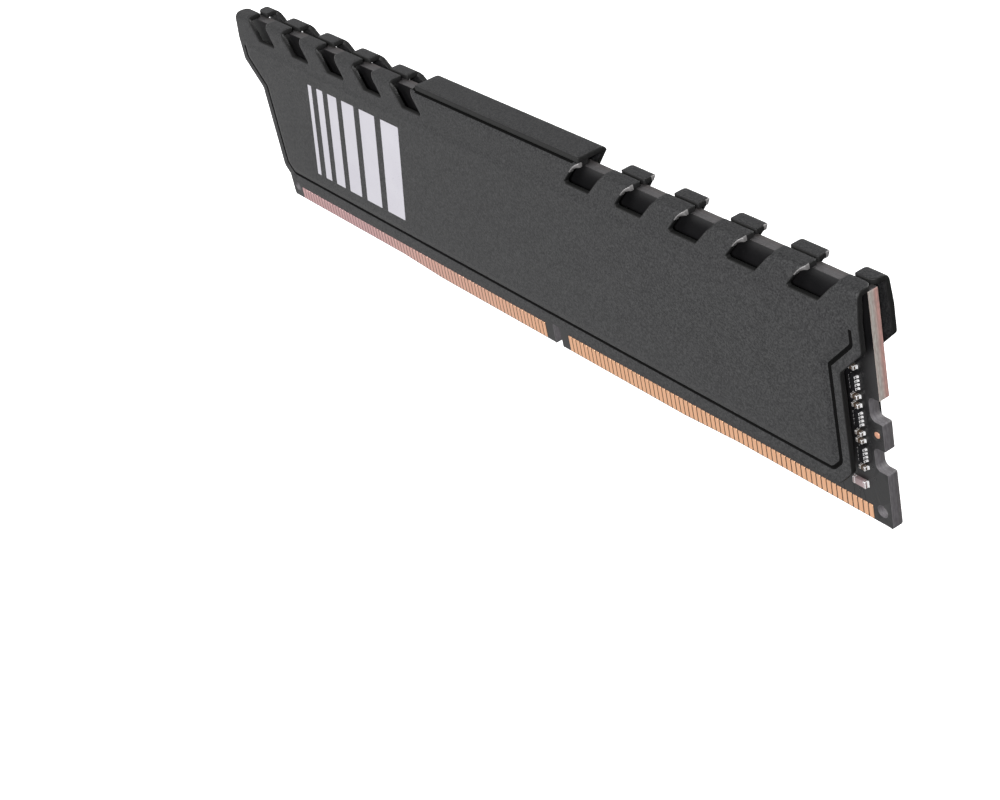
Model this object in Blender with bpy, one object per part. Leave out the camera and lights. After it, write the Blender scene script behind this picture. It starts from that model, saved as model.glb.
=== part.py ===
"""Desktop memory module with a two-piece folded heat spreader.

Frame: X runs along the module, the front face looks towards -Y, +Z is up and
the gold contacts point down. The origin is the middle of the contact edge.
Lengths below are in millimetres and are scaled to metres when meshes are made.
"""

import math

import bmesh
import bpy
from mathutils import Matrix, Vector
from mathutils.geometry import delaunay_2d_cdt

MM = 0.001

# Board, to the 288-contact module outline
BOARD_LENGTH = 133.35
BOARD_HEIGHT = 31.25
BOARD_THICK = 1.40
EDGE_RAISE = 0.50  # the contact edge is this much higher at its two ends
RAMP = 10.20  # length of each slope of the contact edge
FIRST_CONTACT = 3.35  # from the side edge to the first contact
PITCH = 0.85
CONTACT_WIDTH = 0.60
LEFT_CONTACTS = 77
RIGHT_CONTACTS = 67
KEY_GAP = 5.95  # between the contacts either side of the key notch
KEY_WIDTH = 1.50
KEY_HEIGHT = 3.90
SIDE_NOTCH_HEIGHTS = (9.50, 16.10)
SIDE_NOTCH_SIZE = 3.00
SIDE_NOTCH_DEPTH = 1.75
CORNER_HOLE = (1.50, 2.40)  # in from the side, up from the edge
CORNER_HOLE_RADIUS = 0.75
CORNER_RADIUS = 0.50

CONTACT_GAP = 0.02
CONTACT_THICK = 0.05
CONTACT_TOP = 2.60
CONTACT_FOOT = 0.22
CONTACT_RAIL = 0.14  # strip that keeps each row of fingers one piece

# Heat spreader sheet
SHEET = 0.70
FLANGE_Y = 2.75  # outer face of the flange, from the board's middle plane
PANEL_RAISE = 0.25
PANEL_STEP = 0.36
FOOT_Z = 5.40  # lower edge of the sheet
SHOULDER_LOW = 20.9
SHOULDER_HIGH = 24.7
NARROW_HALF = 63.2
WIDE_HALF = 67.0
LEAN_START = 28.30
LEAN_IN = 0.28
FOLD_RADIUS = 1.00
FOLD_TOP = 32.10
SEAM_HALF_GAP = 0.16
FOLD_STEPS = 7

# Openings along the fold: (middle of the pattern, first opening, pitch) of each half
FRONT_PATTERN = (0.30, 18.60, 9.95)
BACK_PATTERN = (0.0, 18.10, 9.80)
BACK_SHIFT = 1.15  # the back half sits this far along +X
BACK_TRIM = 1.50  # and is this much shorter at each end
BAR_HALF = 18.10
OPENINGS = 5
OPENING_FOOT = 29.10
BAR_TOP = FOLD_TOP + SHEET + 0.15
BAR_REACH = 1.95  # how far the bar lies over the front half

# Memory packages and small parts
CHIP = (7.50, 0.80, 11.00)
CHIP_STANDOFF = 0.30
CHIP_Z = 17.50
CHIP_CENTRES = (8.4, 22.2, 36.0, 49.8)
PAD_GAP = 0.03
ARRAY = (2.00, 0.45, 1.00)
SMALL = (1.00, 0.50, 0.50)
END_COLUMN_X = 63.15
END_CAPACITOR_HEIGHTS = (20.9, 17.1, 15.95, 12.3, 11.3, 7.7)
END_ARRAY_HEIGHTS = (18.9, 14.2, 9.4)
PART_GAP = 0.04

HALF_LENGTH = BOARD_LENGTH / 2
HALF_THICK = BOARD_THICK / 2


def clear_scene():
    for item in list(bpy.data.objects):
        bpy.data.objects.remove(item, do_unlink=True)


def material(name, colour, roughness, metallic=0.0):
    made = bpy.data.materials.new(name)
    made.use_nodes = True
    shader = made.node_tree.nodes["Principled BSDF"]
    shader.inputs["Base Color"].default_value = (*colour, 1.0)
    shader.inputs["Roughness"].default_value = roughness
    shader.inputs["Metallic"].default_value = metallic
    return made


def add_object(name, bm, look, smooth_angle=None):
    bmesh.ops.recalc_face_normals(bm, faces=bm.faces[:])
    mesh = bpy.data.meshes.new(name)
    bm.to_mesh(mesh)
    bm.free()
    mesh.transform(Matrix.Scale(MM, 4))
    if smooth_angle is not None:
        mesh.shade_smooth()
        mesh.set_sharp_from_angle(angle=math.radians(smooth_angle))
    made = bpy.data.objects.new(name, mesh)
    bpy.context.scene.collection.objects.link(made)
    made.data.materials.append(look)
    return made


def rounded(points, radii, steps=4):
    """The closed outline with each corner rounded by its own radius."""
    out = []
    count = len(points)
    for i, (point, radius) in enumerate(zip(points, radii)):
        here = Vector(point)
        before = Vector(points[i - 1]) - here
        after = Vector(points[(i + 1) % count]) - here
        if radius <= 0:
            out.append(tuple(here))
            continue
        turn = before.angle(after)
        reach = min(radius / math.tan(turn / 2), before.length * 0.49, after.length * 0.49)
        radius = reach * math.tan(turn / 2)
        centre = here + (before.normalized() + after.normalized()).normalized() * (
            radius / math.sin(turn / 2)
        )
        start = here + before.normalized() * reach - centre
        end = here + after.normalized() * reach - centre
        sweep = start.angle(end)
        side = 1.0 if start.x * end.y - start.y * end.x > 0 else -1.0
        for k in range(steps + 1):
            a = side * sweep * k / steps
            x = start.x * math.cos(a) - start.y * math.sin(a)
            y = start.x * math.sin(a) + start.y * math.cos(a)
            out.append((centre.x + x, centre.y + y))
    return out


def offset(points, amount):
    """The closed outline moved inwards by amount, corner by corner."""
    out = []
    count = len(points)
    area = sum(
        points[i - 1][0] * points[i][1] - points[i][0] * points[i - 1][1]
        for i in range(count)
    )
    sign = 1.0 if area > 0 else -1.0
    for i in range(count):
        here = Vector(points[i])
        first = (here - Vector(points[i - 1])).normalized()
        second = (Vector(points[(i + 1) % count]) - here).normalized()
        n1 = Vector((-first.y, first.x)) * sign
        n2 = Vector((-second.y, second.x)) * sign
        middle = (n1 + n2).normalized()
        out.append(tuple(here + middle * (amount / max(middle.dot(n1), 0.3))))
    return out


def inside(point, loop):
    x, y = point
    odd = False
    for i in range(len(loop)):
        (x1, y1), (x2, y2) = loop[i - 1], loop[i]
        if (y1 > y) != (y2 > y) and x < (x2 - x1) * (y - y1) / (y2 - y1) + x1:
            odd = not odd
    return odd


def plate(outline, holes, lines, place):
    """A closed plate from a flat outline: place(x, s, side) gives each face's points.

    holes are removed outlines and lines are extra folds or steps in the faces.
    """
    points = []
    edges = []
    for loop in [outline, *holes, *[line for line in lines if len(line) > 2]]:
        first = len(points)
        points.extend(loop)
        edges.extend((first + i, first + (i + 1) % len(loop)) for i in range(len(loop)))
    for line in [line for line in lines if len(line) == 2]:
        edges.append((len(points), len(points) + 1))
        points.extend(line)
    flat = [Vector(p) for p in points]
    verts, _, faces, _, _, _ = delaunay_2d_cdt(flat, edges, [], 0, 1e-5)
    kept = []
    for face in faces:
        for k in range(1, len(face) - 1):
            tri = (face[0], face[k], face[k + 1])
            mid = sum((verts[i] for i in tri), Vector((0, 0))) / 3
            if inside(mid, outline) and not any(inside(mid, hole) for hole in holes):
                kept.append(tri)
    bm = bmesh.new()
    used = sorted({i for tri in kept for i in tri})
    outer = {i: bm.verts.new(place(verts[i].x, verts[i].y, 0)) for i in used}
    inner = {i: bm.verts.new(place(verts[i].x, verts[i].y, 1)) for i in used}
    seen = {}
    for tri in kept:
        bm.faces.new([outer[i] for i in tri])
        bm.faces.new([inner[i] for i in reversed(tri)])
        for a, b in ((tri[0], tri[1]), (tri[1], tri[2]), (tri[2], tri[0])):
            seen[(a, b)] = True
    for a, b in seen:
        if (b, a) not in seen:
            bm.faces.new([outer[b], outer[a], inner[a], inner[b]])
    return bm


# ---- circuit board ---------------------------------------------------------


def edge_height(x):
    """Height of the contact edge: lowest either side of the key, raised at the ends."""
    key = key_centre()
    left_flat = key - KEY_GAP / 2 - 25.50
    right_flat = key + KEY_GAP / 2 + 22.95
    if x < left_flat:
        return min(EDGE_RAISE, EDGE_RAISE * (left_flat - x) / RAMP)
    if x > right_flat:
        return min(EDGE_RAISE, EDGE_RAISE * (x - right_flat) / RAMP)
    return 0.0


def contact_x(index):
    """Centre of a contact, counted from the left of the front."""
    x = -HALF_LENGTH + FIRST_CONTACT + PITCH * index
    if index >= LEFT_CONTACTS:
        x += KEY_GAP - PITCH
    return x


def key_centre():
    return contact_x(LEFT_CONTACTS - 1) + KEY_GAP / 2


def board_outline():
    key = key_centre()
    half = KEY_WIDTH / 2
    left_flat = key - KEY_GAP / 2 - 25.50
    right_flat = key + KEY_GAP / 2 + 22.95
    bottom = [
        ((-HALF_LENGTH, EDGE_RAISE), CORNER_RADIUS),
        ((left_flat - RAMP, EDGE_RAISE), 0),
        ((left_flat, 0.0), 0),
        ((key - half, 0.0), 0.15),
        ((key - half, KEY_HEIGHT), half * 0.98),
        ((key + half, KEY_HEIGHT), half * 0.98),
        ((key + half, 0.0), 0.15),
        ((right_flat, 0.0), 0),
        ((right_flat + RAMP, EDGE_RAISE), 0),
        ((HALF_LENGTH, EDGE_RAISE), CORNER_RADIUS),
    ]
    right = []
    for centre in SIDE_NOTCH_HEIGHTS:
        low = centre - SIDE_NOTCH_SIZE / 2
        high = centre + SIDE_NOTCH_SIZE / 2
        deep = HALF_LENGTH - SIDE_NOTCH_DEPTH
        right += [((HALF_LENGTH, low), 0.2), ((deep, low), 0.75)]
        right += [((deep, high), 0.75), ((HALF_LENGTH, high), 0.2)]
    top = [((HALF_LENGTH, BOARD_HEIGHT), 0.2), ((-HALF_LENGTH, BOARD_HEIGHT), 0.2)]
    left = [((-x, z), r) for (x, z), r in reversed(right)]
    corners = bottom + right + top + left
    return rounded([c[0] for c in corners], [c[1] for c in corners])


def circle(x, z, radius, steps=14):
    turns = [2 * math.pi * k / steps for k in range(steps)]
    return [(x + radius * math.cos(a), z + radius * math.sin(a)) for a in turns]


def make_board(look):
    def place(x, z, side):
        return (x, HALF_THICK if side else -HALF_THICK, z)

    hole_x = HALF_LENGTH - CORNER_HOLE[0]
    holes = [circle(s * hole_x, CORNER_HOLE[1], CORNER_HOLE_RADIUS) for s in (-1, 1)]
    add_object("circuit_board", plate(board_outline(), holes, [], place), look)


def make_contacts(name, first, last, side, look):
    """One row of gold fingers: a comb whose fingers follow the contact edge."""
    near = HALF_THICK + CONTACT_GAP
    far = near + CONTACT_THICK
    half = CONTACT_WIDTH / 2
    outline = []
    for index in range(first, last + 1):
        x = contact_x(index)
        foot = edge_height(x) + CONTACT_FOOT
        outline += [(x - half, CONTACT_TOP - CONTACT_RAIL), (x - half, foot)]
        outline += [(x + half, foot), (x + half, CONTACT_TOP - CONTACT_RAIL)]
    outline[0] = (outline[0][0], CONTACT_TOP)
    outline[-1] = (outline[-1][0], CONTACT_TOP)

    def place(x, z, which):
        return (x, side * (far if which == 0 else near), z)

    add_object(name, plate(outline, [], [], place), look)


# ---- heat spreader ---------------------------------------------------------


class Fold:
    """Outer line of the sheet, from its lower edge up and over the top."""

    def __init__(self, top):
        lean_top = top - FOLD_RADIUS
        for _ in range(8):
            self.lean = math.atan2(LEAN_IN, lean_top - LEAN_START)
            lean_top = top - FOLD_RADIUS * (1 - math.sin(self.lean))
        self.top = top
        self.lean_top = lean_top
        self.lean_length = math.hypot(LEAN_IN, lean_top - LEAN_START)
        self.arc_start = LEAN_START + self.lean_length
        self.turn = math.pi / 2 - self.lean
        self.arc_end = self.arc_start + FOLD_RADIUS * self.turn
        self.centre_y = FLANGE_Y - LEAN_IN - FOLD_RADIUS * math.cos(self.lean)
        self.centre_z = lean_top - FOLD_RADIUS * math.sin(self.lean)

    def length_to(self, y):
        """Flat length at which the top reaches this distance from the middle plane."""
        return self.arc_end + self.centre_y - y

    def at(self, s, depth):
        """(y, z) at flat length s, depth below the outer face."""
        if s <= LEAN_START:
            return FLANGE_Y - depth, s
        if s <= self.arc_start:
            share = s - LEAN_START
            y = FLANGE_Y - math.sin(self.lean) * share - math.cos(self.lean) * depth
            z = LEAN_START + math.cos(self.lean) * share - math.sin(self.lean) * depth
            return y, z
        if s <= self.arc_end:
            angle = self.lean + (s - self.arc_start) / FOLD_RADIUS
            radius = FOLD_RADIUS - depth
            y = self.centre_y + radius * math.cos(angle)
            return y, self.centre_z + radius * math.sin(angle)
        return self.centre_y - (s - self.arc_end), self.top - depth

    def lines(self, left, right):
        marks = [LEAN_START, self.arc_start]
        marks += [
            self.arc_start + (self.arc_end - self.arc_start) * k / FOLD_STEPS
            for k in range(1, FOLD_STEPS + 1)
        ]
        return [((left, s), (right, s)) for s in marks]


def openings(pattern, beyond, top_left):
    """The slanted openings of one half, from its (middle, first, pitch) pattern."""
    middle, first, pitch = pattern
    made = []
    for side in (1, -1):
        for k in range(OPENINGS):
            x = first + pitch * k
            loop = [(x, beyond), (x, 32.3), (x - 2.5, OPENING_FOOT + 0.25)]
            loop += [(x - 2.3, OPENING_FOOT), (x + 2.2, OPENING_FOOT)]
            loop += [(x + top_left, 32.0), (x + top_left, beyond)]
            loop = [(middle + side * x, s) for x, s in loop]
            made.append(loop if side > 0 else loop[::-1])
    return made


def panel_outline(trim):
    right = [(60.0, 7.5), (61.3, 8.8), (61.3, 21.6), (65.0, 25.4), (65.0, 27.2), (64.2, 28.0)]
    right = [(x - trim, s) for x, s in right]
    return right + [(-x, s) for x, s in reversed(right)]


def make_spreader(name, side, is_back, look):
    fold = Fold(FOLD_TOP)
    bar = Fold(BAR_TOP)
    seam = fold.length_to(SEAM_HALF_GAP)
    trim = BACK_TRIM if is_back else 0.0
    shift = BACK_SHIFT if is_back else 0.0
    narrow, wide = NARROW_HALF - trim, WIDE_HALF - trim
    corners = [((61.0 - trim, FOOT_Z), 0.8), ((narrow, 7.7), 0.8)]
    corners += [((narrow, SHOULDER_LOW), 0.8), ((wide, SHOULDER_HIGH), 0.8)]
    corners += [((wide, seam), 1.0)]
    if is_back:
        reach = bar.length_to(-BAR_REACH)
        corners += [((BAR_HALF, seam), 0), ((BAR_HALF, reach), 0.5)]
    corners += [((-x, s), r) for (x, s), r in reversed(corners)]
    outline = rounded([c[0] for c in corners], [c[1] for c in corners])
    if is_back:
        holes = openings(BACK_PATTERN, seam + 1.0, 5.4)
    else:
        holes = openings(FRONT_PATTERN, seam + 1.0, 4.9)
    panel = rounded(panel_outline(trim), [0.6] * 12, 2)
    step_foot = offset(panel, -PANEL_STEP / 2)
    step_head = offset(panel, PANEL_STEP / 2)
    lines = [step_foot, step_head, *fold.lines(-WIDE_HALF - 1, WIDE_HALF + 1)]
    lines += bar.lines(-BAR_HALF - 0.3, BAR_HALF + 0.3)[1:] if is_back else []
    head_test = offset(panel, PANEL_STEP / 2 - 0.02)

    def place(x, s, which):
        on_bar = is_back and abs(x) < BAR_HALF + 0.6 and s > OPENING_FOOT - 0.01
        depth = SHEET if which else 0.0
        raised = PANEL_RAISE if inside((x, s), head_test) else 0.0
        y, z = (bar if on_bar else fold).at(s, depth - raised)
        return (x + shift, side * y, z)

    bm = plate(outline, holes, lines, place)
    add_object(name, bm, look, smooth_angle=28)


def make_box(name, centre, size, look, bevel=0.0):
    bm = bmesh.new()
    bmesh.ops.create_cube(bm, size=1.0)
    bmesh.ops.scale(bm, vec=size, verts=bm.verts[:])
    if bevel:
        bmesh.ops.bevel(bm, geom=bm.edges[:], offset=bevel, segments=1, affect="EDGES")
    bmesh.ops.translate(bm, vec=centre, verts=bm.verts[:])
    add_object(name, bm, look)


def make_chips(look):
    y = HALF_THICK + CHIP_STANDOFF + CHIP[1] / 2
    for side, word in ((-1, "front"), (1, "back")):
        centres = [-x for x in reversed(CHIP_CENTRES)] + list(CHIP_CENTRES)
        for i, x in enumerate(centres, 1):
            name = f"{word}_memory_chip_{i}"
            make_box(name, (x, side * y, CHIP_Z), CHIP, look, 0.06)


def make_pads(look):
    near = HALF_THICK + CHIP_STANDOFF + CHIP[1] + PAD_GAP
    far = FLANGE_Y + PANEL_RAISE - SHEET - PAD_GAP
    length = 2 * (CHIP_CENTRES[-1] + CHIP[0] / 2 + 1.0)
    size = (length, far - near, CHIP[2] + 1.0)
    for side, word in ((-1, "front"), (1, "back")):
        centre = (0.0, side * (near + far) / 2, CHIP_Z)
        make_box(f"{word}_thermal_pad", centre, size, look)


def make_small_parts(array_look, cap_look, chip_look):
    y = HALF_THICK + PART_GAP + ARRAY[1] / 2
    left = [-58.8 + 3.11 * k for k in range(12)]
    right = [35.3 + 2.9 * k for k in range(10)]
    for i, x in enumerate(left + right, 1):
        make_box(f"back_resistor_array_{i:02d}", (x, y, 4.2), ARRAY, array_look, 0.04)
    y = HALF_THICK + PART_GAP + SMALL[1] / 2
    for i, x in enumerate((-7.9, 0.4), 1):
        make_box(f"back_capacitor_{i}", (x, y, 4.2), (1.0, 0.5, 0.5), cap_look, 0.04)
    for i, z in enumerate(END_CAPACITOR_HEIGHTS, 1):
        make_box(f"end_capacitor_{i}", (END_COLUMN_X, -y, z), SMALL, cap_look, 0.04)
    y = HALF_THICK + PART_GAP + ARRAY[1] / 2
    for i, z in enumerate(END_ARRAY_HEIGHTS, 1):
        upright = (ARRAY[2], ARRAY[1], ARRAY[0])
        make_box(f"end_resistor_array_{i}", (END_COLUMN_X, -y, z), upright, array_look, 0.04)
    make_box("end_resistor", (62.3, -y, 5.3), (2.0, 0.45, 0.9), array_look, 0.04)
    centre = (0.0, -(HALF_THICK + PART_GAP + 0.375), 26.6)
    make_box("spd_chip", centre, (3.0, 0.75, 2.0), chip_look, 0.05)


def main():
    clear_scene()
    black_mask = material("board_black", (0.012, 0.012, 0.013), 0.45)
    gold = material("contact_gold", (0.83, 0.55, 0.30), 0.28, 1.0)
    black_metal = material("spreader_black", (0.030, 0.030, 0.032), 0.50, 0.4)
    moulding = material("chip_moulding", (0.02, 0.02, 0.02), 0.6)
    grey_pad = material("thermal_pad", (0.35, 0.37, 0.40), 0.8)
    resistor = material("resistor_body", (0.02, 0.02, 0.02), 0.4)
    ceramic = material("capacitor_body", (0.28, 0.20, 0.13), 0.5)
    make_board(black_mask)
    last_left = LEFT_CONTACTS - 1
    last = LEFT_CONTACTS + RIGHT_CONTACTS - 1
    for side, word in ((-1, "front"), (1, "back")):
        make_contacts(f"{word}_contacts_left", 0, last_left, side, gold)
        make_contacts(f"{word}_contacts_right", LEFT_CONTACTS, last, side, gold)
    make_spreader("front_heat_spreader", -1, False, black_metal)
    make_spreader("back_heat_spreader", 1, True, black_metal)
    make_chips(moulding)
    make_pads(grey_pad)
    make_small_parts(resistor, ceramic, moulding)


main()
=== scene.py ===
"""A desktop memory module: board, gold fingers, chips and a folded two-piece heat spreader.

Lengths are in millimetres in the part's frame and scaled to metres when meshes are made:
X runs along the module, the front face looks towards -Y, +Z is up, the contact edge is at Z = 0.
On the heat spreader, s is the distance up the sheet from Z = 0, measured round its fold.
"""

import math

import bmesh
import bpy
import numpy as np
from mathutils import Matrix, Vector
from mathutils.geometry import delaunay_2d_cdt


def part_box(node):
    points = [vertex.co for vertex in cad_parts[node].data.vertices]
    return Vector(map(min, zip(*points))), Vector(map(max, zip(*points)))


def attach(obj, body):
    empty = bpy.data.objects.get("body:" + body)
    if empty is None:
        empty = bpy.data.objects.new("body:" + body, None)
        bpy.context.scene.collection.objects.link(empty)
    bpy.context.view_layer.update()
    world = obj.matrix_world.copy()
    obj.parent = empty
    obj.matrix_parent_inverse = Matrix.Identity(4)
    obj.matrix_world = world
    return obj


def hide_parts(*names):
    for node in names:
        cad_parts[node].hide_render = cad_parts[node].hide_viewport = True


MM = 0.001

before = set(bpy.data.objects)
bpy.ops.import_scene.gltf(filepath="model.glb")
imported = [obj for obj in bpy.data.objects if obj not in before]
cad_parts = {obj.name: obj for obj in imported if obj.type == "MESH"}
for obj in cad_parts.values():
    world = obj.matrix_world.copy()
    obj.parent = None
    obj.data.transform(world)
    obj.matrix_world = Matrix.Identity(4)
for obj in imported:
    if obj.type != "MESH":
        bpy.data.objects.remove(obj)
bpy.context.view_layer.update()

# Board
BOARD_LENGTH = 133.35
BOARD_HEIGHT = 31.25
HALF_LENGTH = BOARD_LENGTH / 2
HALF_THICK = 0.70
EDGE_RAISE = 0.50  # the contact edge is this much higher near its ends
RAMP = 10.20  # length over which it rises
LEFT_FLAT_LENGTH = 25.50  # of the low stretch on each side of the key
RIGHT_FLAT_LENGTH = 22.95
KEY_GAP = 5.95  # between the middles of the contacts beside the key
KEY_WIDTH = 1.50
KEY_HEIGHT = 3.90
SIDE_NOTCH_HEIGHTS = (9.50, 16.10)
SIDE_NOTCH_SIZE = 3.00
SIDE_NOTCH_DEPTH = 1.75
CORNER_HOLE = (1.50, 2.40)  # in from the end and up from the contact edge
CORNER_HOLE_RADIUS = 0.75
CHAMFER = 0.20  # along the contact edge
EDGE_BREAK = 0.05  # along every other edge
CUT_EDGE_FROM = 17.55  # above this the side edge was snapped, below it was routed

# Contacts and other copper
FIRST_CONTACT = 3.35  # its middle, in from the end of the board
PITCH = 0.85
LEFT_CONTACTS = 77
RIGHT_CONTACTS = 67
CONTACT_WIDTH = 0.69
CONTACT_TOP = 2.60
CONTACT_FOOT = 0.22  # above the contact edge
CONTACT_HEIGHT = 0.045
SEAT = 0.01  # how deep trim is sunk into the face it stands on
TRACE_HALF_WIDTH = 0.09
TRACE_HEIGHT = 0.018
TRACE_BENDS = (3.1, 3.9)  # it steps sideways between these heights
TRACE_STAGGER = 0.12
TRACE_STEPS = (0.0, 0.22, -0.18, 0.1)
TRACE_TOP = 7.2
UNUSED_CONTACTS = (3, 6)  # of every seven, these have no trace
VIA_RINGS = ((0.27, -SEAT), (0.24, 0.022), (0.15, 0.026), (0.10, 0.004))  # radius, height
VIA_SIDES = 12
FRONT_VIAS = (
    (64.45, 6.6),
    (64.30, 8.1),
    (64.35, 11.3),
    (64.15, 13.3),
    (64.25, 17.9),
    (64.4, 20.2),
    (64.9, 22.9),
    (61.8, 4.0),
)
BACK_VIA_ROW = [(x + 1.5, 3.6) for x in range(-50, 62, 7)]
FIDUCIAL = (65.66, 12.9)
FIDUCIAL_RADIUS = 0.42
FIDUCIAL_RING = (0.72, 0.86)  # the raised ring of mask round its clearing
FIDUCIAL_SIDES = 36

# Heat spreader
SHEET = 0.70
SHEET_EDGE = 0.10  # rounding of its cut edges
FLANGE_Y = 2.74
FOOT_Z = 5.40
FOOT_HALF = 61.0
FOOT_CORNER_TOP = 7.7
SHOULDER_LOW = 20.9
SHOULDER_HIGH = 24.7
NARROW_HALF = 63.2
WIDE_HALF = 67.0
OUTLINE_ROUND = 0.8
SEAM_CORNER_ROUND = 1.0
LEAN_START = 28.30
LEAN_IN = 0.28
FOLD_RADIUS = 1.00
FOLD_TOP = 32.10
SEAM_HALF_GAP = 0.16
BACK_SHIFT = 1.15  # the back half sits this far along +X
BACK_TRIM = 1.50  # and is this much shorter at each end

# Openings along the fold: (middle of the pattern, first opening, pitch) of each half
FRONT_PATTERN = (0.30, 18.60, 9.95)
BACK_PATTERN = (0.0, 18.10, 9.80)
OPENINGS = 5
OPENING_FOOT = 29.10
OPENING_FOOT_RIGHT = 2.2  # where its slanted sides reach the foot, from its own x
OPENING_FOOT_LEFT = -2.3
OPENING_FOOT_CORNER = (-2.5, 0.25)  # and the small corner left of and above that
OPENING_BEND_RIGHT = 32.0  # where its sides turn to run straight over the fold
OPENING_BEND_LEFT = 32.3
FRONT_OPENING_TOP = 4.9  # width over the fold
BACK_OPENING_TOP = 5.4
LIP_BEFORE = 1.3  # the painted highlight on the inner side of an opening starts this far before its x
LIP_SPAN = 1.6
LIP_BELOW_FOLD = 0.75
LIP_PAST_FOLD = 0.15

# Bar: the middle of the back half, carried over the top of the front half
BAR_HALF = 18.10
BAR_CLEAR_HALF = BAR_HALF + 0.6  # the sheet stays at bar height this far out
BAR_TOP = FOLD_TOP + SHEET + 0.15
BAR_REACH = 1.95
BAR_BLEND_FROM = 15.4  # below the openings the sheet rises to the bar over this span
BAR_BLEND_SPAN = 5
BAR_SHADE_SHARE = 0.80  # share of the fold's height above which the front sheet under the bar is painted in shade

# Raised panel: the right half of its corners, and the profile across its edge
PANEL_CORNERS = ((60.0, 7.5), (61.3, 8.8), (61.3, 21.6), (65.2, 25.5), (65.2, 27.6), (64.6, 28.2))
PANEL_ROUND = 0.8
PANEL_RAISE = 0.235
PANEL_LIMIT = 29.0  # the sheet is plain above this
CREASE = 0.17  # depth of the groove at the foot of the panel
CREASE_LINE = (-0.72, -0.62, -0.45, -0.28, -0.12, 0.05, 0.25, 0.45, 0.70, 0.95)
STEP_FROM, STEP_SPAN = -0.12, 1.07  # the panel rises here, in distance inside its outline
GROOVE_MIDDLE, GROOVE_HALF = -0.43, 0.29
GROOVE_SHADE_SPAN = (-0.63, -0.13)  # the floor of the groove, painted in shade
GROOVE_FADE_FROM, GROOVE_FADE_SPAN = 24.5, 2.5  # it runs out up the sheet
# painted shade in the groove stops below this height
GROOVE_SHADE_END = 27.3

# Printed stripes on the panel: lower left corner and width
STRIPES = ((-31.4, 4.6), (-37.1, 4.1), (-41.9, 3.3), (-45.8, 2.5), (-48.9, 1.7), (-51.4, 1.0))
STRIPE_FOOT = 9.8
STRIPE_HEIGHT = 15.9
STRIPE_LEAN = 0.28  # sideways for each unit of height
STRIPE_ROUND = 0.12
INK_THICK = 0.012

# Material slots of a piece
PLAIN = 0
# the sheet's last slot is painted shade
# the sheet's lip slot is a painted highlight
SHEET_WALL, SHEET_LIP_HIGHLIGHT, SHEET_PAINTED_SHADE = 1, 2, 3
ROUTED_WALL, SNAPPED_WALL, SHADED_TOP_WALL = 1, 2, 3
BARE_COPPER = 1
TERMINAL = 1
CHIP_SUBSTRATE, CHIP_BALL = 1, 2


# ---- materials -------------------------------------------------------------


class Look:
    """A material being built: small helpers around its node tree."""

    def __init__(self, name, colour, roughness, metallic=0.0, **fixed):
        self.made = bpy.data.materials.new(name)
        self.made.use_nodes = True
        self.tree = self.made.node_tree
        self.shader = self.tree.nodes["Principled BSDF"]
        self.shader.inputs["Base Color"].default_value = (*colour, 1.0)
        self.shader.inputs["Roughness"].default_value = roughness
        self.shader.inputs["Metallic"].default_value = metallic
        for socket, value in fixed.items():
            self.shader.inputs[socket.replace("_", " ")].default_value = value
        self.where = self.tree.nodes.new("ShaderNodeTexCoord").outputs["Object"]

    def node(self, kind, **settings):
        made = self.tree.nodes.new("ShaderNode" + kind)
        for key, value in settings.items():
            setattr(made, key, value)
        return made

    def link(self, source, target):
        self.tree.links.new(source, target)

    def stretched(self, scale):
        """Object coordinates multiplied by a scale for each axis."""
        mapping = self.node("Mapping")
        mapping.inputs["Scale"].default_value = scale
        self.link(self.where, mapping.inputs["Vector"])
        return mapping.outputs["Vector"]

    def noise(self, size_mm, detail=2.0, stretch=(1, 1, 1), rough=0.5):
        """Noise whose features are about size_mm across."""
        made = self.node("TexNoise")
        made.inputs["Scale"].default_value = 1.0 / (size_mm * MM)
        made.inputs["Detail"].default_value = detail
        made.inputs["Roughness"].default_value = rough
        self.link(self.stretched(stretch), made.inputs["Vector"])
        return made.outputs["Fac"]

    def ranged(self, value, low, high, from_low=0.0, from_high=1.0):
        made = self.node("MapRange")
        made.inputs["From Min"].default_value = from_low
        made.inputs["From Max"].default_value = from_high
        made.inputs["To Min"].default_value = low
        made.inputs["To Max"].default_value = high
        self.link(value, made.inputs["Value"])
        return made.outputs["Result"]

    def axis(self, letter):
        parts = self.node("SeparateXYZ")
        self.link(self.where, parts.inputs["Vector"])
        return parts.outputs[letter]

    def mixed(self, factor, first, second):
        """A colour between two, by factor. Each is a colour or a socket."""
        made = self.node("Mix", data_type="RGBA")
        for value, socket in ((first, made.inputs[6]), (second, made.inputs[7])):
            if isinstance(value, tuple):
                socket.default_value = (*value, 1.0)
            else:
                self.link(value, socket)
        self.link(factor, made.inputs[0])
        return made.outputs[2]

    def colour(self, socket):
        self.link(socket, self.shader.inputs["Base Color"])

    def roughness(self, socket):
        self.link(socket, self.shader.inputs["Roughness"])

    def bumps(self, *layers):
        """Each layer is (height socket, depth in millimetres)."""
        last = None
        for height, depth in layers:
            made = self.node("Bump")
            made.inputs["Strength"].default_value = 1.0
            made.inputs["Distance"].default_value = depth * MM
            self.link(height, made.inputs["Height"])
            if last:
                self.link(last, made.inputs["Normal"])
            last = made.outputs["Normal"]
        self.link(last, self.shader.inputs["Normal"])


def grey(value):
    return (value, value, value)


def spreader_coat():
    """Fine black powder coat."""
    look = Look("spreader_coat", (0.020, 0.020, 0.021), 0.42, Specular_IOR_Level=0.34)
    grain = look.noise(0.22, 3.0, rough=0.7)
    cloud = look.noise(9.0, 3.0)
    specks = look.ranged(grain, 0.0, 1.0, 0.38, 0.66)
    look.colour(look.mixed(specks, (0.007, 0.007, 0.008), (0.042, 0.042, 0.043)))
    look.roughness(look.ranged(cloud, 0.40, 0.48))
    look.bumps((cloud, 0.010), (grain, 0.026))
    return look.made


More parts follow.
